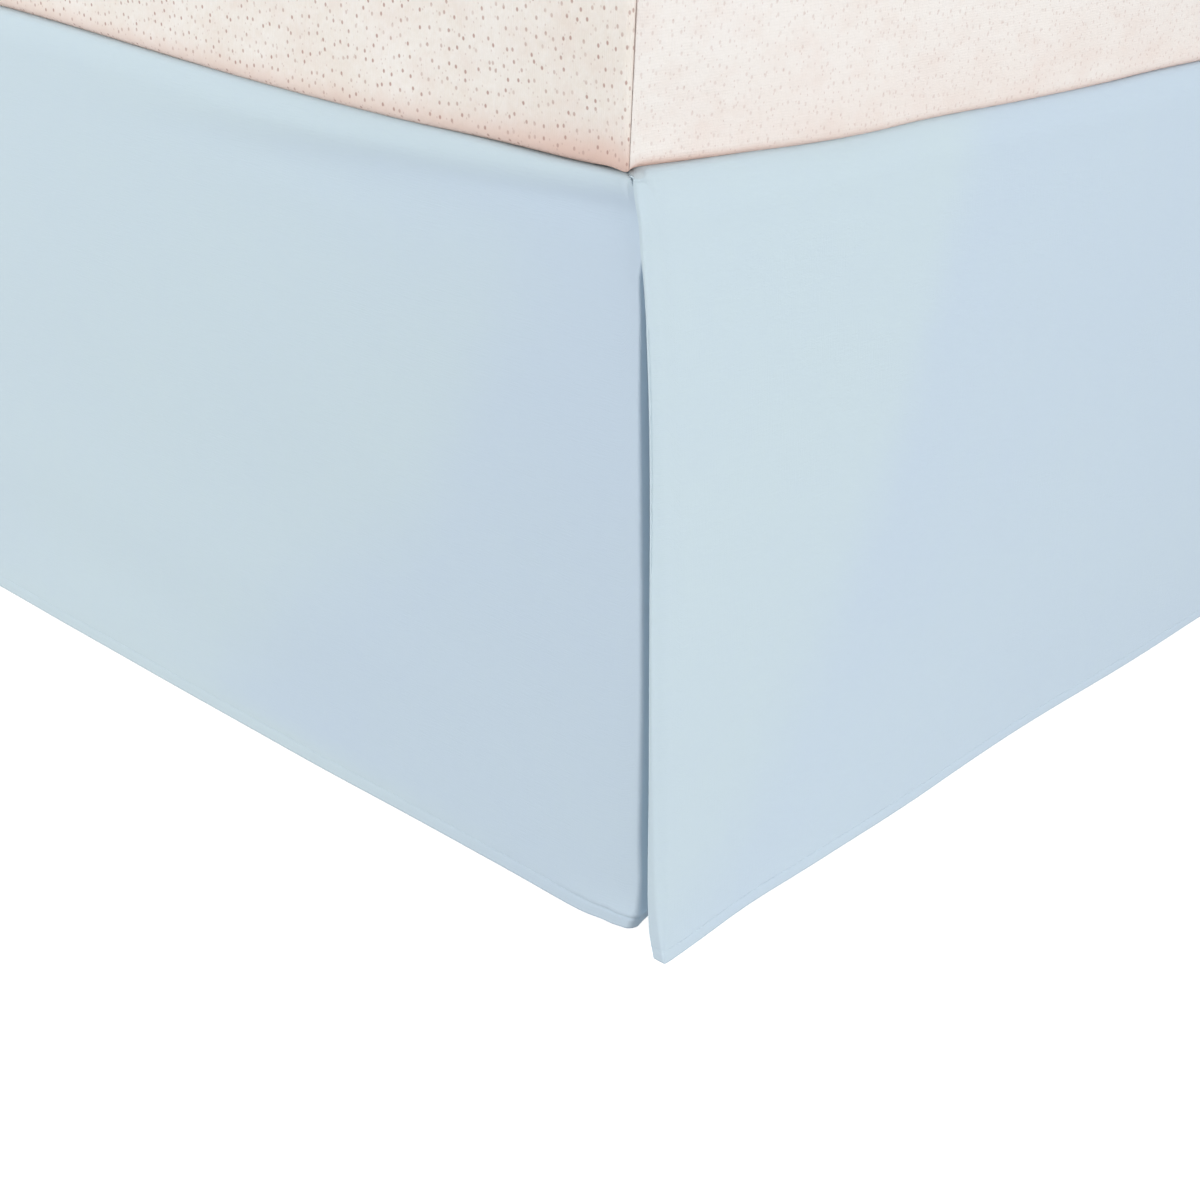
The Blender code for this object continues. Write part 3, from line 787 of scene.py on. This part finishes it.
def padded_block(name, low, high, steps, shape, finish):
    """A closed padded box; shape() gives each point's edge radius, relief, level shift and tints."""
    low, high = np.array(low), np.array(high)
    half, middle = (high - low) / 2, (high + low) / 2
    points, quads, cloth = block_faces(half, steps)
    radius, relief, shift, tints = shape(points, half)
    core = np.clip(points, -(half - radius[:, None]), half - radius[:, None])
    points = core + unit(points - core) * (radius + relief)[:, None] + middle + shift
    merged, first, where = np.unique(np.round(points, MERGE_DIGITS), axis=0,
                                     return_index=True, return_inverse=True)
    mesh = bpy.data.meshes.new(name)
    mesh.from_pydata(merged.tolist(), [], where.reshape(-1)[quads].tolist())
    mesh.uv_layers.new(name="cloth").data.foreach_set("uv", cloth[quads.ravel()].ravel())
    for key, values in tints.items():
        mesh.attributes.new(key, "FLOAT", "POINT").data.foreach_set("value", values[first])
    return placed(name, mesh, finish)


def walls_and_floor(points, half):
    """Distances in from the nearer side wall and end wall, and up from the bottom."""
    return half[0] - np.abs(points[:, 0]), half[1] - np.abs(points[:, 1]), half[2] + points[:, 2]


def mattress_tints(from_side, from_end, height, nearer):
    """Shares of the corner seam, of the painted pinkish shade along the lower edge and of the side walls'
    tint.
    """
    seam = hump(np.maximum(from_side, from_end), 0.0, SEAM_WIDTH)
    along = mix(from_side, from_end, nearer)
    near_corner = hump(along, 0.0, LOW_SHADE_REACH)
    tall = LOW_SHADE_TALL * mix(1.0 + LOW_SHADE_CORNER * near_corner, LOW_SHADE_SIDE, nearer)
    # painted pinkish shade along the lower edge, taller and stronger near the corners
    low_shade = hump(height, 0.0, tall) * mix(LOW_SHADE_FAINT, 1.0, near_corner)
    uneven = 1.0 + BROAD_UNEVEN * ripple(BROAD_FINE * along, BROAD_FINE * height, seed=17)
    # a paler, uneven painted shade higher up the side walls
    broad = BROAD_SHADE * nearer * hump(height, 0.0, BROAD_TALL) * ease(along / BROAD_START) * uneven
    side = mix(nearer, 1.0, ease(np.minimum(from_side, from_end) / CROWN_BLEND))
    return {"seam": seam, "low_shade": np.maximum(low_shade, broad), "side": side}


def mattress_shape(points, half):
    """Soft edges, walls that bulge low down, and a lower edge that rises and falls on the skirt."""
    from_side, from_end, height = walls_and_floor(points, half)
    nearer = np.where(from_side < from_end, 1.0, 0.0)
    nearer = np.where(np.abs(from_side - from_end) < TOUCH, 0.5, nearer)
    tints = mattress_tints(from_side, from_end, height, nearer)
    at_foot = np.where(points[:, 1] > 0.0, FOOT_EDGE["along"][-1], from_side)
    at_side = half[1] + points[:, 1]
    foot, side = ({key: through(edge, key, along) for key in ("radius", "bulge", "rise")}
                  for edge, along in ((FOOT_EDGE, at_foot), (SIDE_EDGE, at_side)))
    low = 1.0 - ease(height / LOW_TALL)
    rim = 1.0 - ease((half[2] - points[:, 2]) / LOW_TALL)
    radius = MATTRESS_CORNER + low * (mix(foot["radius"], side["radius"], nearer) - MATTRESS_CORNER)
    radius = radius + rim * (MATTRESS_RIM - MATTRESS_CORNER)
    by_side, by_end = 1.0 - from_side / BULGE_DEEP, 1.0 - from_end / BULGE_DEEP
    fade = hump(height, 0.0, BULGE_TALL)
    sideways = np.sign(points[:, 0]) * side["bulge"] * fade * ease(by_side)
    forwards = np.sign(points[:, 1]) * foot["bulge"] * fade * ease(by_end)
    rise = np.maximum(side["rise"] * ease(by_side * RISE_DEEP), foot["rise"] * ease(by_end * RISE_DEEP))
    knob = hump(from_side, 0.0, KNOB_REACH) * hump(from_end, 0.0, KNOB_REACH) * hump(height, 0.0, KNOB_TALL)
    upwards = rise * hump(height, 0.0, RISE_TALL) - KNOB_SAG * knob
    relief = PUFF * ripple(points[:, 0] + points[:, 1], height, seed=5) * ease(height / PUFF_START)
    shift = np.stack([sideways, forwards, upwards], axis=-1)
    return radius, relief - SEAM_DEPTH * tints["seam"], shift, tints


def mattress(finish):
    return padded_block("mattress_pad", MATTRESS_LOW, MATTRESS_HIGH, MATTRESS_STEPS, mattress_shape, finish)


BASE_STEPS = (14, 18, 14)
BASE_CORNER = 0.018
BASE_RIM = 0.012
BASE_SEAM_BELOW = 0.022
BASE_SEAM_DEPTH = 0.0014
BASE_SEAM_WIDTH = 0.0016


def base_shape(points, half):
    """Soft edges, and seams up the corners and round the walls low down."""
    from_side, from_end, from_bottom = walls_and_floor(points, half)
    near = np.minimum(half[2] - points[:, 2], from_bottom)
    radius = mix(BASE_RIM, BASE_CORNER, ease(near / LOW_TALL))
    band = hump(from_bottom, BASE_SEAM_BELOW, BASE_SEAM_WIDTH)
    upright = hump(np.maximum(from_side, from_end), 0.0, BASE_SEAM_WIDTH)
    wall = np.minimum(from_side, from_end) < TOUCH
    seam = np.where(wall, np.maximum(band, upright), 0.0)
    return radius, -BASE_SEAM_DEPTH * seam, np.zeros((len(points), 3)), {"seam": seam}


def bed_base(finish):
    return padded_block("bed_base_cover", BASE_LOW, BASE_HIGH, BASE_STEPS, base_shape, finish)


# ---- camera, light, floor ----
AZIMUTH = math.radians(43.52)
ELEVATION = math.radians(23.56)
ROLL = math.radians(2.40)
SENSOR = 36.0  # millimetres
PHOTO_PIXELS = 1200.0
FOCAL_PIXELS = 2246.0
CAMERA_OUT = 0.6712  # from the side plane
CAMERA_AHEAD = 0.7141  # in front of the foot plane
CAMERA_HEIGHT = 0.6139


def camera():
    forward = np.array([-math.sin(AZIMUTH) * math.cos(ELEVATION), math.cos(AZIMUTH) * math.cos(ELEVATION),
                        -math.sin(ELEVATION)])
    level = np.array([math.cos(AZIMUTH), math.sin(AZIMUTH), 0.0])
    upright = np.cross(level, forward)
    place = np.eye(4)
    place[:3, 0] = math.cos(ROLL) * level + math.sin(ROLL) * upright
    place[:3, 1] = math.cos(ROLL) * upright - math.sin(ROLL) * level
    place[:3, 2] = -forward
    place[:3, 3] = HALF_WIDTH + CAMERA_OUT, FOOT_PLANE - CAMERA_AHEAD, CAMERA_HEIGHT
    seen = shown("camera", bpy.data.cameras.new("camera"))
    seen.data.sensor_width = SENSOR
    seen.data.lens = SENSOR * FOCAL_PIXELS / PHOTO_PIXELS
    seen.matrix_world = Matrix(place.tolist())
    bpy.context.scene.camera = seen
    bpy.context.scene.view_settings.view_transform = "Standard"


WARM_LIGHT = (1.0, 0.99, 0.965)
# name; azimuth and elevation in degrees; distance and size in metres; power in watts; colour
LAMPS = (
    ("key_side", 91, 16, 2.9, 2.2, 56.5, WARM_LIGHT),
    ("key_foot", -25, 16, 3.2, 2.4, 61, WARM_LIGHT),
    ("back", 200, 35, 4.5, 3.0, 45, (1.0, 1.0, 1.0)),
)
SKY_COLOUR = (0.95, 0.985, 1.03, 1.0)
SKY_BELOW = 0.42  # its strength below the horizon, and above
SKY_ABOVE = 0.52
SKY_BLEND = 0.3
FLOOR_REACH = 12.0
FLOOR_COLOUR = (0.93, 0.93, 0.93, 1.0)
FLOOR_GLOW = 0.8


def lamp(name, azimuth, elevation, distance, size, power, colour):
    """A soft round lamp that looks at the bed's foot corner."""
    aim = Vector((HALF_WIDTH, FOOT_PLANE, DECK_TOP / 2))
    around, up = math.radians(azimuth), math.radians(elevation)
    back = Vector((math.sin(around) * math.cos(up), -math.cos(around) * math.cos(up), math.sin(up)))
    data = bpy.data.lights.new(name, "AREA")
    data.shape = "DISK"
    data.size = size
    data.energy = power
    data.color = colour
    made = shown(name, data)
    made.location = aim + back * distance
    made.rotation_mode = "QUATERNION"
    made.rotation_quaternion = (-back).to_track_quat("-Z", "Y")


def sky():
    """An even studio: bright above, dimmer from below the horizon."""
    world = bpy.data.worlds.new("studio")
    bpy.context.scene.world = world
    world.use_nodes = True
    tree = world.node_tree
    tree.nodes.clear()
    place = node(tree, "ShaderNodeTexCoord").outputs["Generated"]
    height = node(tree, "ShaderNodeSeparateXYZ", Vector=place).outputs["Z"]
    level = ramp(tree, height, -SKY_BLEND, SKY_BLEND, To_Min=SKY_BELOW, To_Max=SKY_ABOVE)
    glow = node(tree, "ShaderNodeBackground", Color=SKY_COLOUR, Strength=level)
    node(tree, "ShaderNodeOutputWorld", Surface=glow.outputs["Background"])


def floor():
    mesh = bpy.data.meshes.new("floor")
    corners = [(x * FLOOR_REACH, y * FLOOR_REACH, 0.0) for x, y in ((-1, -1), (1, -1), (1, 1), (-1, 1))]
    mesh.from_pydata(corners, [], [(0, 1, 2, 3)])
    finish = principled("floor", 0.9, Base_Color=FLOOR_COLOUR, Emission_Color=(1.0, 1.0, 1.0, 1.0),
                        Emission_Strength=FLOOR_GLOW)[0]
    mesh.materials.append(finish)
    ground = shown("floor", mesh)
    ground.visible_diffuse = False


# ---- materials ----
def node(tree, kind, settings=None, **inputs):
    """A node with its settings. An input, i and its number or its name, is a value or an output."""
    made = tree.nodes.new(kind)
    for key, value in (settings or {}).items():
        setattr(made, key, value)
    for key, value in inputs.items():
        socket = made.inputs[int(key[1:]) if key[1:].isdigit() else key.replace("_", " ")]
        if isinstance(value, bpy.types.NodeSocket):
            tree.links.new(value, socket)
        else:
            socket.default_value = value
    return made


def maths(tree, operation, first, second=0.0, third=0.0):
    return node(tree, "ShaderNodeMath", {"operation": operation}, i0=first, i1=second, i2=third).outputs[0]


def blend(tree, share, first, second):
    """A mix of two colours by a share."""
    return node(tree, "ShaderNodeMix", {"data_type": "RGBA"}, i0=share, i6=first, i7=second).outputs[2]


def noise(tree, vector, scale=1.0, detail=2.0, dimensions="2D", **inputs):
    return node(tree, "ShaderNodeTexNoise", {"noise_dimensions": dimensions}, Vector=vector, Scale=scale,
                Detail=detail, **inputs).outputs[0]


def ramp(tree, value, none, full, kind="LINEAR", **ends):
    """The share of the way from none to full, or a value between the ends."""
    return node(tree, "ShaderNodeMapRange", {"interpolation_type": kind}, Value=value,
                From_Min=none, From_Max=full, **ends).outputs[0]


def stretched(tree, vector, size):
    return node(tree, "ShaderNodeVectorMath", {"operation": "MULTIPLY"}, i0=vector, i1=size).outputs[0]


def summed(tree, amounts, **layers):
    """The layers, each times its amount, on top of the amounts' start."""
    total = amounts.get("start", 0.0)
    for name, layer in layers.items():
        total = maths(tree, "MULTIPLY_ADD", layer, amounts[name], total)
    return total


def toned(tree, deep, light, amounts, **layers):
    """A colour between deep and light, as the layers say."""
    share = node(tree, "ShaderNodeClamp", Value=summed(tree, amounts, **layers)).outputs[0]
    return blend(tree, share, deep, light)


def attribute(tree, name):
    return node(tree, "ShaderNodeAttribute", {"attribute_name": name}).outputs["Fac"]


def object_place(tree):
    return node(tree, "ShaderNodeTexCoord").outputs["Object"]


def cloth_place(tree):
    """The cloth coordinates, and the distances across and down in them."""
    cloth = node(tree, "ShaderNodeUVMap", {"uv_map": "cloth"}).outputs["UV"]
    split = node(tree, "ShaderNodeSeparateXYZ", Vector=cloth)
    return cloth, split.outputs["X"], split.outputs["Y"]


def waves(tree, along, pitch):
    """A sine of a distance, once every pitch."""
    return maths(tree, "SINE", maths(tree, "MULTIPLY", along, 2 * math.pi / pitch))


def woven(tree, across, down, pitch):
    """The over and under of threads that lie a pitch apart, -1 to 1."""
    return maths(tree, "MULTIPLY", waves(tree, across, 2 * pitch), waves(tree, down, 2 * pitch))


def principled(name, roughness, **inputs):
    """A new finish with its tree and shader."""
    finish = bpy.data.materials.new(name)
    finish.use_nodes = True
    shader = finish.node_tree.nodes["Principled BSDF"]
    shader.inputs["Roughness"].default_value = roughness
    for key, value in inputs.items():
        shader.inputs[key.replace("_", " ")].default_value = value
    return finish, finish.node_tree, shader


def dress(tree, shader, colour, height=None):
    """Give the shader its colour and a bump of a height in metres."""
    tree.links.new(colour, shader.inputs["Base Color"])
    if height is not None:
        bump = node(tree, "ShaderNodeBump", Height=height, Distance=1.0, Strength=1.0)
        tree.links.new(bump.outputs["Normal"], shader.inputs["Normal"])


# A pair such as CLOTH_DRIFT is a noise's scale, a metre, and its detail. A TONE says how much each
# layer adds to the share of the lighter colour, and a HEIGHT how many metres to the bump.
THREAD_PITCH = 0.00042
# CLOTH_DEEP is the cloth's deeper tone for the random layers and, where the share of the lighter blue is
# low, painted shade
CLOTH_LIGHT = (0.574, 0.685, 0.736, 1.0)
CLOTH_DEEP = (0.545, 0.650, 0.754, 1.0)
CLOTH_SLUBS = (90.0, 1300.0)  # scale along and across a thread
CLOTH_DRIFT = (5.0, 3.0)
CLOTH_MOTTLE = (60.0, 2.0)
CLOTH_TONE = {"start": -0.45, "greener": 0.70, "drift": 0.50, "mottle": 0.22, "weft": 0.30, "warp": 0.18}
CLOTH_HEIGHT = {"weave": 0.000015, "weft": 0.00010, "warp": 0.00006}
STITCH_COLOUR = (0.50, 0.60, 0.71, 1.0)
STITCH_TWIST = (900.0, 1.0)


def cloth_material():
    """Fine plain weave with slubs, pale blue with soft drifts of tone and painted shade that turns it
    darker and bluer.
    """
    finish, tree, shader = principled("skirt_cloth", 0.82, Sheen_Weight=0.12, Sheen_Roughness=0.5,
                                      Specular_IOR_Level=0.25)
    cloth, across, down = cloth_place(tree)
    long, thin = CLOTH_SLUBS
    weft = noise(tree, stretched(tree, cloth, (long, thin, 1.0)))
    warp = noise(tree, stretched(tree, cloth, (thin, long, 1.0)))
    # the share of the lighter blue paints shade in the darker, bluer colour
    colour = toned(tree, CLOTH_DEEP, CLOTH_LIGHT, CLOTH_TONE, greener=attribute(tree, "greener"),
                   drift=noise(tree, cloth, *CLOTH_DRIFT), mottle=noise(tree, cloth, *CLOTH_MOTTLE),
                   weft=weft, warp=warp)
    weave = woven(tree, across, down, THREAD_PITCH)
    dress(tree, shader, colour, summed(tree, CLOTH_HEIGHT, weave=weave, weft=weft, warp=warp))
    return finish


def thread_material():
    finish, tree, shader = principled("hem_thread", 0.6)
    twist = noise(tree, object_place(tree), *STITCH_TWIST, dimensions="3D")
    dress(tree, shader, blend(tree, twist, STITCH_COLOUR, CLOTH_LIGHT))
    return finish


KNIT_LIGHT = (0.900, 0.855, 0.808, 1.0)
KNIT_DEEP = (0.855, 0.790, 0.720, 1.0)
KNIT_SIDE = (0.865, 0.825, 0.800, 1.0)
# dark painted shade in the dimples' hollows
KNIT_DIMPLE_SHADE = (0.44, 0.255, 0.215, 1.0)
# pinkish colour of the random marks and of the painted shade along the lower edge
KNIT_PINK_MARK_AND_SHADE = (0.73, 0.505, 0.425, 1.0)
KNIT_SEAM = (0.52, 0.32, 0.26, 1.0)
# what is laid over the knit's own colour, painted shade among it, how strongly and in what colour
KNIT_TINTS = (
    ("side", 0.60, KNIT_SIDE),
    ("marks", 0.14, KNIT_PINK_MARK_AND_SHADE),
    # painted pinkish shade along the lower edge
    ("low_shade", 0.95, KNIT_PINK_MARK_AND_SHADE),
    # painted shade in the small and the large dimples
    ("speck_shade", 0.28, KNIT_DIMPLE_SHADE),
    ("dimple_shade", 0.80, KNIT_DIMPLE_SHADE),
    ("seam", 0.60, KNIT_SEAM),
)
KNIT_TONE = {"start": -1.40, "drift": 1.6, "fuzz": 0.9, "tufts": 1.1}
KNIT_HEIGHT = {"hollow": -0.00012, "ribs": 0.00003, "fuzz": 0.00020, "tufts": 0.00030}
KNIT_DRIFT = (14.0, 3.0)
KNIT_TUFTS = (190.0, 2.0)
KNIT_FUZZ = (900.0, 300.0, 1.0)  # scale across and down
RIB_PITCH = 0.0014
MARKS = (42.0, 5.0)
MARKS_FLAT = (1.0, 1.5, 1.0)  # makes them wider than tall
MARKS_RANGE = (0.44, 0.74)  # of their noise, from no mark to a full one
DIMPLES = 156.0  # a metre
DIMPLE_SPREAD = 0.7  # how unevenly they lie
DIMPLE_TALL = (1.0, 0.78, 1.0)  # makes them taller than wide
DIMPLE_RADIUS = 0.132  # in the dimples' spacing
DIMPLE_SHADE_RANGE = (1.25, 0.55)  # in radii, from no painted shade to the full one
DIMPLE_HOLLOW = (3.2, 0.0)  # in radii, from the hollow's edge to its deepest place
DIMPLE_PALE = 0.68  # how much of the dimples' painted shade is lost on the side walls
DIMPLE_PATCHES = (85.0, 1.0)  # a noise that makes some dimples fainter
PATCH_RANGE = (0.32, 0.60)
PATCH_FAINT = 0.38
SMALL_DIMPLES = 1.1  # smaller dimples with fainter painted shade, to a dimple
SMALL_DIMPLE_RANGE = (0.8, 0.3)


def dimples(tree, place, density, spread):
    """Distances from the middles of scattered dimples, in dimple radii."""
    cells = node(tree, "ShaderNodeTexVoronoi", {"voronoi_dimensions": "2D"}, Scale=DIMPLES * density,
                 Randomness=spread, Vector=stretched(tree, place, DIMPLE_TALL)).outputs["Distance"]
    return maths(tree, "DIVIDE", cells, DIMPLE_RADIUS)


def knit_material():
    """Cream knit with ribs and small pin dimples, with painted pinkish shade along its lower edge and
    painted shade in its dimples.
    """
    finish, tree, shader = principled("mattress_knit", 0.9, Specular_IOR_Level=0.2)
    cloth, across, down = cloth_place(tree)
    # the painted shade along the lower edge, the side walls' tint and the corner seam come from the mesh
    masks = {name: attribute(tree, name) for name in ("side", "low_shade", "seam")}
    place = dimples(tree, cloth, 1.0, DIMPLE_SPREAD)
    strength = ramp(tree, noise(tree, cloth, *DIMPLE_PATCHES), *PATCH_RANGE, To_Min=PATCH_FAINT)
    paler = maths(tree, "MULTIPLY_ADD", masks["side"], -DIMPLE_PALE, 1.0)
    strength = maths(tree, "MULTIPLY", strength, paler)
    # painted shade in the dimples, fainter in patches and on the side walls
    masks["dimple_shade"] = maths(tree, "MULTIPLY", ramp(tree, place, *DIMPLE_SHADE_RANGE, "SMOOTHSTEP"), strength)
    masks["speck_shade"] = ramp(tree, dimples(tree, cloth, SMALL_DIMPLES, 1.0), *SMALL_DIMPLE_RANGE, "SMOOTHSTEP")
    masks["marks"] = ramp(tree, noise(tree, stretched(tree, cloth, MARKS_FLAT), *MARKS), *MARKS_RANGE)
    turned = maths(tree, "SUBTRACT", down, across)
    ribs = waves(tree, maths(tree, "MULTIPLY_ADD", masks["side"], turned, across), RIB_PITCH)
    fuzz = noise(tree, stretched(tree, cloth, KNIT_FUZZ))
    tufts = noise(tree, cloth, *KNIT_TUFTS)
    colour = toned(tree, KNIT_DEEP, KNIT_LIGHT, KNIT_TONE, drift=noise(tree, cloth, *KNIT_DRIFT),
                   fuzz=fuzz, tufts=tufts)
    for name, share, tint in KNIT_TINTS:
        colour = blend(tree, maths(tree, "MULTIPLY", masks[name], share), colour, tint)
    hollow = ramp(tree, place, *DIMPLE_HOLLOW, "SMOOTHERSTEP")
    dress(tree, shader, colour, summed(tree, KNIT_HEIGHT, hollow=hollow, ribs=ribs, fuzz=fuzz, tufts=tufts))
    return finish


BASE_LIGHT = (0.66, 0.64, 0.61, 1.0)
BASE_DEEP = (0.52, 0.50, 0.47, 1.0)
BASE_THREAD = 0.0013
BASE_FUZZ = (700.0, 2.0)
BASE_DRIFT = (8.0, 2.0)
BASE_TONE = {"start": -0.2, "weave": 0.18, "fuzz": 0.8, "drift": 0.4}
BASE_HEIGHT = {"weave": 0.00012, "fuzz": 0.0002}
BASE_SEAM = 0.4  # how much deeper its seams are


def base_material():
    """Plain upholstery with a visible weave."""
    finish, tree, shader = principled("base_fabric", 0.92, Sheen_Weight=0.1)
    cloth, across, down = cloth_place(tree)
    weave, fuzz = woven(tree, across, down, BASE_THREAD), noise(tree, cloth, *BASE_FUZZ)
    colour = toned(tree, BASE_DEEP, BASE_LIGHT, BASE_TONE, weave=weave, fuzz=fuzz,
                   drift=noise(tree, cloth, *BASE_DRIFT))
    seam = maths(tree, "MULTIPLY", attribute(tree, "seam"), BASE_SEAM)
    height = summed(tree, BASE_HEIGHT, weave=weave, fuzz=fuzz)
    dress(tree, shader, blend(tree, seam, colour, BASE_DEEP), height)
    return finish


WOOD_DEEP = (0.045, 0.024, 0.014, 1.0)
WOOD_LIGHT = (0.125, 0.070, 0.042, 1.0)
WOOD_GRAIN = (160.0, 160.0, 9.0)  # scale across and along the legs
WOOD_PORES = (900.0, 900.0, 60.0)
WOOD_RANGE = (0.32, 0.68)  # of the grain's noise, from deep to light
WOOD_HEIGHT = {"grain": 0.0002, "pores": 0.00008}


def wood_material():
    """Dark stained wood with its grain upright."""
    finish, tree, shader = principled("leg_wood", 0.42)
    place = object_place(tree)
    grain = noise(tree, stretched(tree, place, WOOD_GRAIN), detail=4.0, dimensions="3D", Distortion=0.6)
    pores = noise(tree, stretched(tree, place, WOOD_PORES), detail=1.0, dimensions="3D")
    colour = blend(tree, ramp(tree, grain, *WOOD_RANGE), WOOD_DEEP, WOOD_LIGHT)
    dress(tree, shader, colour, summed(tree, WOOD_HEIGHT, grain=grain, pores=pores))
    return finish


# ---- the whole ----
def put(piece, slot, *nodes):
    """The piece rides with the bed and stands for its plain solids."""
    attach(piece, "root")
    if nodes:
        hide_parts(*nodes)


FOOT_FLAT = (1.72, 0.39)
SIDE_FLAT = (2.13, 0.39)


def main():
    camera()
    sky()
    floor()
    for row in LAMPS:
        lamp(*row)
    cloth, thread = cloth_material(), thread_material()
    drops = (
        ("foot_drop", FOOT_FLAT, foot_drop(cloth, thread)),
        ("side_drop_right", SIDE_FLAT, side_drop("side_drop_right", 1, cloth, thread)),
        ("side_drop_left", SIDE_FLAT, side_drop("side_drop_left", -1, cloth, thread)),
    )
    laid = deck(cloth)
    put(laid, "skirt_cloth", "deck")
    for name, flat, (piece, sewing) in drops:
        put(piece, "skirt_cloth", name)
        put(sewing, "skirt_cloth")
    pad = mattress(knit_material())
    put(pad, "mattress_knit", "mattress")
    base = bed_base(base_material())
    put(base, "base_fabric", "bed_base")
    wood = wood_material()
    for name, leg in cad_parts.items():
        if name.startswith("leg_"):
            leg.data.materials.clear()
            leg.data.materials.append(wood)


main()
